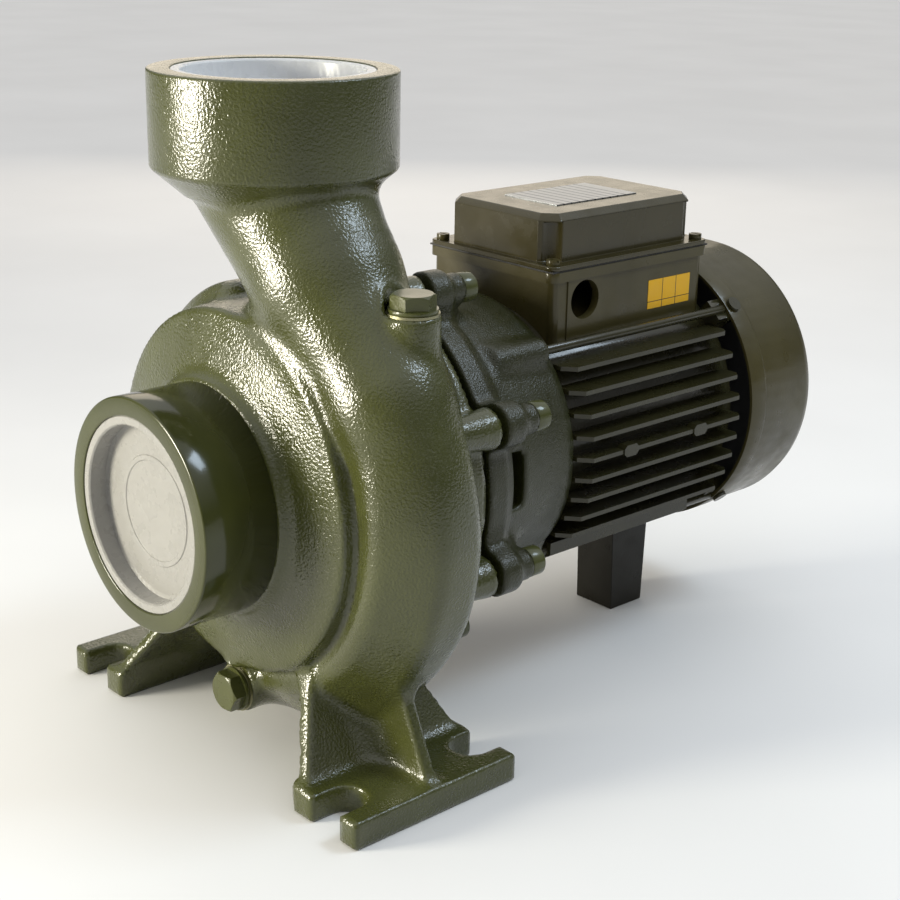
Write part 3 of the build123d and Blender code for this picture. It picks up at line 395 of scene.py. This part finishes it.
def thread(name, ring, start, end, pitch=2.309, depth=1.3):
    """Helical pipe-thread sleeve: its inner face is the thread, its outer face plain."""
    rows_per_turn, outside = 6, 59
    rows = int((end - start) / pitch * rows_per_turn)
    turn = np.linspace(0, 1, RING_POINTS, endpoint=False)
    loops = []
    for k in range(rows + 1):
        along = start + (end - start) * k / rows
        phase = (along / pitch - turn) % 1
        loops.append(ring(THREAD_R + depth * (1 - np.abs(2 * phase - 1)), along))
    loops.append(ring(outside, end))
    loops.append(ring(outside, start))
    return woven(name, loops)


def suction_boss():
    """Machined boss with its lead-in bore."""
    face, root = SUCTION_FACE, -49
    return turned("suction_boss", ring_y, [
        (LEAD_IN_R, face, 0.8), (BOSS_R, face, 1.4), (BOSS_R, root, 0), (RELIEF_R, root, 0),
        (RELIEF_R, face + THREAD_FROM, 0), (LEAD_IN_R, face + LEAD_IN, 0.4)])


def discharge_collar():
    """Rim of the discharge collar with its lead-in bore."""
    top, shoulder = COLLAR_TOP, 345
    return turned("discharge_collar", ring_z, [
        (60, 337.2, 0), (COLLAR_R, shoulder, 1.2), (COLLAR_R, top, 1.6), (LEAD_IN_R, top, 0.8),
        (LEAD_IN_R, top - LEAD_IN, 0.4), (RELIEF_R, top - THREAD_FROM, 0), (RELIEF_R, shoulder, 0)])


# ---------------------------------------------------------------- materials
def material(name):
    """Empty node material with its shader; returns (material, nodes, link, shader)."""
    mat = bpy.data.materials.new(name)
    mat.use_nodes = True
    tree = mat.node_tree
    return mat, tree.nodes, tree.links.new, tree.nodes["Principled BSDF"]


def noise(nodes, link, scale, detail=2.0, roughness=0.5, stretch=None):
    """Noise in real metres: scale is features per metre."""
    place = nodes.new("ShaderNodeTexCoord")
    tex = nodes.new("ShaderNodeTexNoise")
    tex.inputs["Scale"].default_value = scale
    tex.inputs["Detail"].default_value = detail
    tex.inputs["Roughness"].default_value = roughness
    vector = place.outputs["Object"]
    if stretch:
        mapping = nodes.new("ShaderNodeMapping")
        mapping.inputs["Scale"].default_value = stretch
        link(vector, mapping.inputs["Vector"])
        vector = mapping.outputs["Vector"]
    link(vector, tex.inputs["Vector"])
    return tex.outputs["Fac"]


def ramp(nodes, link, value, stops):
    """Colour ramp from (position, colour) stops."""
    node = nodes.new("ShaderNodeValToRGB")
    for k, (at, colour) in enumerate(stops):
        stop = node.color_ramp.elements[k] if k < 2 else node.color_ramp.elements.new(at)
        stop.position = at
        stop.color = (*colour, 1)
    link(value, node.inputs["Fac"])
    return node.outputs["Color"]


def remap(nodes, link, value, low, high, start=0.3, end=0.7):
    """Number mapped from start..end to low..high."""
    node = nodes.new("ShaderNodeMapRange")
    for key, number in (("From Min", start), ("From Max", end), ("To Min", low), ("To Max", high)):
        node.inputs[key].default_value = number
    link(value, node.inputs["Value"])
    return node.outputs["Result"]


def bump(nodes, link, height, distance, strength=1.0, under=None):
    """Bump node over an optional earlier one."""
    node = nodes.new("ShaderNodeBump")
    node.inputs["Distance"].default_value = distance
    node.inputs["Strength"].default_value = strength
    link(height, node.inputs["Height"])
    if under:
        link(under, node.inputs["Normal"])
    return node.outputs["Normal"]


def paint(name, colour, grain, depth, rough, coat, waves=0.0012, patchy=0.12):
    """Enamel over metal: grain is the size of the skin's pimples in metres, depth their height, and
    waves the height of the slow unevenness under them."""
    mat, nodes, link, shader = material(name)
    dark = [c * (1 - patchy) for c in colour]
    light = [min(1, c * (1 + patchy)) for c in colour]
    tone = noise(nodes, link, 24, 4)
    link(ramp(nodes, link, tone, [(0.35, dark), (0.5, colour), (0.65, light)]), shader.inputs["Base Color"])
    normal = bump(nodes, link, noise(nodes, link, 45, 2), waves, 0.6)
    normal = bump(nodes, link, noise(nodes, link, 1 / grain, 1.5), depth, under=normal)
    link(normal, shader.inputs["Normal"])
    smudge = noise(nodes, link, 70, 4)
    link(remap(nodes, link, smudge, rough * 0.75, rough * 1.35), shader.inputs["Roughness"])
    shader.inputs["Specular IOR Level"].default_value = 0.28
    shader.inputs["Coat Weight"].default_value = coat
    shader.inputs["Coat Roughness"].default_value = 0.10
    shader.inputs["Coat IOR"].default_value = 1.45
    link(normal, shader.inputs["Coat Normal"])
    return mat


def metal(name, colour, rough, stretch=(1, 1, 1), grain=0.0006, depth=0.00003):
    """Bare metal with fine tool marks along the stretched direction."""
    mat, nodes, link, shader = material(name)
    shade = noise(nodes, link, 1 / grain, 3, 0.6, stretch)
    dark = [c * 0.78 for c in colour]
    link(ramp(nodes, link, shade, [(0.35, dark), (0.65, colour)]), shader.inputs["Base Color"])
    link(remap(nodes, link, shade, rough * 0.75, rough * 1.3), shader.inputs["Roughness"])
    link(bump(nodes, link, shade, depth), shader.inputs["Normal"])
    shader.inputs["Metallic"].default_value = 1.0
    return mat


def band(nodes, link, value, low, high):
    """One between low and high, nought elsewhere."""
    above, below, both = (nodes.new("ShaderNodeMath") for _ in range(3))
    above.operation, below.operation, both.operation = "GREATER_THAN", "LESS_THAN", "MULTIPLY"
    above.inputs[1].default_value = low
    below.inputs[1].default_value = high
    for node, socket in ((above, 0), (below, 1)):
        link(value, node.inputs[0])
        link(node.outputs[0], both.inputs[socket])
    return both.outputs[0]


def printed(mat, ink, lines):
    """Inks straight bands over a look's colour: lines are (axis, low, high) in the part's metres."""
    nodes, link = mat.node_tree.nodes, mat.node_tree.links.new
    tones = nodes["Principled BSDF"].inputs["Base Color"].links[0].from_node
    last = tones.color_ramp.elements[-1].color[:]
    for at, colour in ((0.94, last), (0.96, (*ink, 1))):
        tones.color_ramp.elements.new(at).color = colour
    place = nodes.new("ShaderNodeTexCoord")
    split = nodes.new("ShaderNodeSeparateXYZ")
    link(place.outputs["Object"], split.inputs["Vector"])
    value = tones.inputs["Fac"].links[0].from_socket
    for axis, low, high in lines:
        add = nodes.new("ShaderNodeMath")
        link(value, add.inputs[0])
        link(band(nodes, link, split.outputs[axis], low, high), add.inputs[1])
        value = add.outputs[0]
    link(value, tones.inputs["Fac"])


def plastic(name, colour, rough, grain=0.0008, depth=0.00004, milky=0.0):
    """Moulded plastic or rubber with a faint grain; milky lets light wander inside."""
    mat, nodes, link, shader = material(name)
    shade = noise(nodes, link, 60, 3)
    dark = [c * 0.94 for c in colour]
    link(ramp(nodes, link, shade, [(0.3, dark), (0.7, colour)]), shader.inputs["Base Color"])
    fine = noise(nodes, link, 1 / grain, 2)
    link(bump(nodes, link, fine, depth), shader.inputs["Normal"])
    smudge = noise(nodes, link, 120, 3)
    link(remap(nodes, link, smudge, rough * 0.85, rough * 1.2), shader.inputs["Roughness"])
    shader.inputs["Subsurface Weight"].default_value = milky
    shader.inputs["Subsurface Radius"].default_value = (0.006, 0.006, 0.005)
    return mat


OLIVE = (0.050, 0.055, 0.0135)
MOTOR_OLIVE = (0.050, 0.042, 0.014)

looks = {
    "casing_paint": paint("casing_paint", OLIVE, 0.0015, 0.00042, 0.27, 0.8, 0.0005),
    "machined_paint": paint("machined_paint", [c * 0.8 for c in OLIVE], 0.006, 0.00005, 0.16, 0.4,
                            0.00012),
    "bracket_paint": paint("bracket_paint", [c * 0.40 for c in OLIVE], 0.0010, 0.0005, 0.32, 0.4),
    "motor_paint": paint("motor_paint", MOTOR_OLIVE, 0.0014, 0.00006, 0.34, 0.2, 0.0002),
    # A darker copy of the motor paint for the finned frame, rear endshield, tie rods and fan-cover screws:
    # painted shade
    "shaded_motor_paint": paint("shaded_motor_paint", (0.026, 0.024, 0.009), 0.0014, 0.00006, 0.28, 0.4, 0.0002),
    "leg_paint": paint("leg_paint", (0.009, 0.0075, 0.0035), 0.0014, 0.00006, 0.36, 0.0, 0.0002),
    "lid_paint": paint("lid_paint", (0.036, 0.030, 0.010), 0.0012, 0.00004, 0.24, 0.35, 0.00015),
    "fastener_paint": paint("fastener_paint", [c * 1.1 for c in OLIVE], 0.0014, 0.00006, 0.26, 0.5,
                            0.00015),
    # Both transit caps are one white plastic at two brightnesses: the suction cap's is painted darker under
    # the strong window, painted shade, and the discharge cap's copy lighter, painted light
    "cap_plastic": plastic("cap_plastic", (0.27, 0.265, 0.25), 0.28, milky=0.3),
    "painted_light_cap_plastic": plastic("painted_light_cap_plastic", (0.66, 0.67, 0.68), 0.28, milky=0.3),
    "sealing_metal": metal("sealing_metal", (0.30, 0.29, 0.18), 0.35),
    "bronze": metal("bronze", (0.66, 0.42, 0.18), 0.30),
    # Nearly black: the cover's flange is what shows in the joint between casing and bracket, and its colour
    # paints that narrow gap as deep shade, painted shade
    "cover_iron": paint("cover_iron", (0.004, 0.004, 0.004), 0.0008, 0.00005, 0.6, 0.0),
    "bare_steel": metal("bare_steel", (0.56, 0.56, 0.57), 0.28, (1, 14, 1)),
    "black_rubber": plastic("black_rubber", (0.02, 0.02, 0.02), 0.6),
    "seal_ceramic": plastic("seal_ceramic", (0.80, 0.76, 0.66), 0.18),
    "seal_carbon": plastic("seal_carbon", (0.03, 0.03, 0.032), 0.35),
    "lamination_steel": metal("lamination_steel", (0.30, 0.30, 0.31), 0.45, (1, 40, 1)),
    "winding_copper": metal("winding_copper", (0.70, 0.28, 0.10), 0.35),
    "cage_aluminium": metal("cage_aluminium", (0.75, 0.75, 0.76), 0.40),
    "black_plastic": plastic("black_plastic", (0.025, 0.025, 0.025), 0.45),
    "plate_metal": metal("plate_metal", (0.50, 0.52, 0.55), 0.36, (1, 12, 1)),
    "label_film": plastic("label_film", (0.74, 0.40, 0.004), 0.5),
}
# The rules that divide the notice label into panels, and the ruled lines of the blank nameplate
printed(looks["label_film"], (0.02, 0.018, 0.012), [
    ("Y", 0.2706, 0.2712), ("Y", 0.2838, 0.2844), ("Z", 0.2384, 0.2389)])
printed(looks["plate_metal"], (0.06, 0.08, 0.12), [
    ("Y", 0.2060 + 0.0072 * k, 0.2074 + 0.0072 * k) for k in range(9)])


def wear(obj, look):
    """Gives a piece one look."""
    obj.data.materials.clear()
    obj.data.materials.append(looks[look])


def soften(obj, width):
    """Rounds a CAD node's sharp edges without moving its own vertices."""
    weld = obj.modifiers.new("weld", "WELD")
    weld.merge_threshold = 2e-6
    bevel = obj.modifiers.new("edges", "BEVEL")
    bevel.width = width
    bevel.segments = 2
    bevel.limit_method = "ANGLE"
    bevel.angle_limit = radians(30)
    bevel.use_clamp_overlap = True
    bevel.harden_normals = True


for part in frame["record"]["subparts"]:
    wear(frame["nodes"][part["node"]], part["material_slot"])

OWN_LOOK = {  # nodes whose paint differs from that of their slot
    # The motor frame, rear endshield, tie rods and fan-cover screws wear the darker copy of the motor paint,
    # painted shade
    "motor_frame": "shaded_motor_paint", "rear_endshield": "shaded_motor_paint", "tie_rods": "shaded_motor_paint",
    "fan_cover_screws": "shaded_motor_paint", "support_screws": "leg_paint", "motor_support": "leg_paint",
    # The discharge cap wears the lighter copy of the cap plastic: painted light
    "lid_screws": "motor_paint", "discharge_cap": "painted_light_cap_plastic",
}
for node, look in OWN_LOOK.items():
    wear(frame["nodes"][node], look)

SOFT = {  # width of the rounding on a node's edges, metres
    "terminal_box": 0.0008, "terminal_lid": 0.0010, "fan_cover": 0.0006, "motor_frame": 0.0004,
    "rear_endshield": 0.0005, "motor_support": 0.0010, "casing_screws": 0.0006, "tie_rods": 0.0004,
    "priming_plug": 0.0006, "drain_plug": 0.0006, "suction_cap": 0.0006, "discharge_cap": 0.0006,
    "lid_screws": 0.0004, "fan_cover_screws": 0.0004,
}
for node, width in SOFT.items():
    soften(frame["nodes"][node], width)

casting = skin("casing_casting", casing, (-158, -99, -5), (158, 70, 404), 2.7)
boss, rim = suction_boss(), discharge_collar()
suction_thread = thread("suction_thread", ring_y, SUCTION_FACE + THREAD_FROM, SUCTION_FACE + THREAD_TO)
discharge_thread = thread("discharge_thread", ring_z, COLLAR_TOP - THREAD_TO, COLLAR_TOP - THREAD_FROM)
pieces = {
    casting: "casing_paint", boss: "machined_paint", rim: "casing_paint",
    suction_thread: "machined_paint", discharge_thread: "machined_paint",
}
for piece, look in pieces.items():
    wear(piece, look)
    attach(piece, "pump_frame")
    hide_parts("pump_casing")

lantern = skin("lantern_casting", bracket, (-134, 67, 26), (134, 160, 294), 2.4)
wear(lantern, "bracket_paint")
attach(lantern, "pump_frame")
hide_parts("lantern_bracket")


# ---------------------------------------------------------------- floor, light and camera
def floor():
    """Plain pale floor."""
    points = [(-60, -60, 0), (60, -60, 0), (60, 60, 0), (-60, 60, 0)]
    sheet = mesh_piece("floor", points, [(0, 1, 2, 3)])
    mat, nodes, link, shader = material("floor")
    tone = noise(nodes, link, 3, 3)
    pale = ramp(nodes, link, tone, [(0.3, (0.78, 0.775, 0.765)), (0.7, (0.82, 0.815, 0.805))])
    link(pale, shader.inputs["Base Color"])
    shader.inputs["Roughness"].default_value = 0.85
    shader.inputs["Specular IOR Level"].default_value = 0.2
    sheet.data.materials.append(mat)


def softbox(name, place, aim, size, power, colour, spread=180):
    """Rectangular area light aimed at a point."""
    data = bpy.data.lights.new(name, "AREA")
    data.shape = "RECTANGLE"
    data.size, data.size_y = size
    data.energy = power
    data.color = colour
    data.spread = radians(spread)
    lamp = bpy.data.objects.new(name, data)
    bpy.context.scene.collection.objects.link(lamp)
    lamp.location = place
    lamp.rotation_euler = (Vector(aim) - Vector(place)).to_track_quat("-Z", "Y").to_euler()


def studio():
    """Low warm window from the front left, warm wall behind left, cool high window behind right."""
    middle = (0, 0.05, 0.22)
    softbox("window", (-0.636, -1.358, 0.35), middle, (0.47, 0.54), 8.3, (1.0, 0.95, 0.80), 80)
    softbox("wall", (-1.5, 1.4, 0.75), middle, (1.4, 0.8), 4, (1.0, 0.88, 0.70))
    softbox("skylight", (0.70, 0.80, 1.38), middle, (0.50, 0.40), 8, (0.70, 0.85, 1.0))
    world = bpy.data.worlds.new("surround")
    bpy.context.scene.world = world
    world.use_nodes = True
    nodes, link = world.node_tree.nodes, world.node_tree.links.new
    place = nodes.new("ShaderNodeTexCoord")
    split = nodes.new("ShaderNodeSeparateXYZ")
    link(place.outputs["Generated"], split.inputs["Vector"])
    shade = ramp(nodes, link, split.outputs["Z"], [(0.15, (0.085, 0.085, 0.08)), (0.75, (1.0, 1.0, 1.0))])
    back = nodes["Background"]
    link(shade, back.inputs["Color"])
    back.inputs["Strength"].default_value = 1.0


def photo_camera():
    """Camera at the viewing angle: yaw from the suction side towards +X, looking down, slightly rolled."""
    yaw, pitch, roll = radians(47.417), radians(18.718), radians(1.134)
    back = Vector((sin(yaw) * cos(pitch), -cos(yaw) * cos(pitch), sin(pitch)))
    right = Vector((cos(yaw), sin(yaw), 0))
    up = back.cross(right)
    tilted = cos(roll) * right + sin(roll) * up
    upright = cos(roll) * up - sin(roll) * right
    data = bpy.data.cameras.new("camera")
    data.lens, data.sensor_width = 67.0, 36.0
    camera = bpy.data.objects.new("camera", data)
    bpy.context.scene.collection.objects.link(camera)
    turn = Matrix((tilted, upright, back)).transposed().to_4x4()
    camera.matrix_world = Matrix.Translation((0.75357, -0.55647, 0.49516)) @ turn
    bpy.context.scene.camera = camera


floor()
studio()
photo_camera()
bpy.context.scene.view_settings.view_transform = "Standard"
